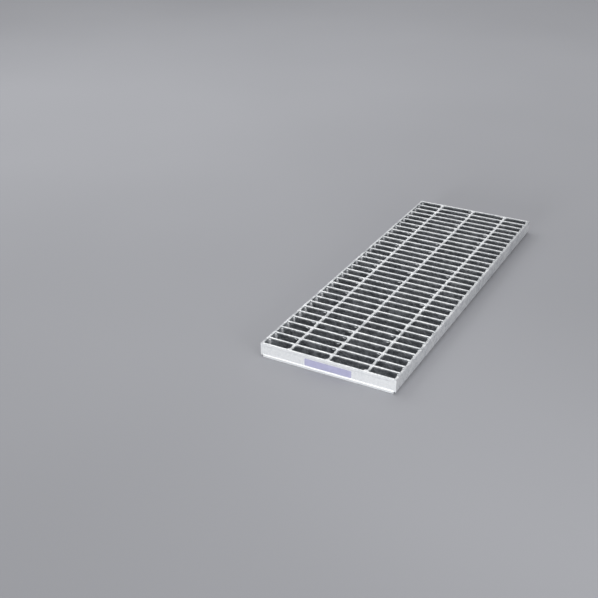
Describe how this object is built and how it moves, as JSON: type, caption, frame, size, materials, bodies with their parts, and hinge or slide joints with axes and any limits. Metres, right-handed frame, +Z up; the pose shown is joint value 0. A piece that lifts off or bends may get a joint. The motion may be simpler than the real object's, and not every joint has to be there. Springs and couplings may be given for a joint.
{
  "type": "steel grating panel",
  "caption": "Welded steel gutter grating: parallel I-section bearing bars, twisted cross rods flush in their tops and a flat plate along each long side.",
  "frame": {"origin": "middle of the underside, on the plane that the bearing bars rest on", "axes": "+X across the gutter, along the bearing bars; +Y along the gutter, along the cross rods and side plates; +Z up, out of the walking face"},
  "size_m": [0.35, 0.995, 0.038],
  "materials": {
    "galvanised_steel": "hot-dip galvanised, satin zinc with faint mottling",
    "label_film": "blank printed film label"
  },
  "bodies": {
    "root": {"welded_grid": "galvanised_steel", "side_plate_left": "galvanised_steel", "side_plate_right": "galvanised_steel"}
  },
  "joints": []
}
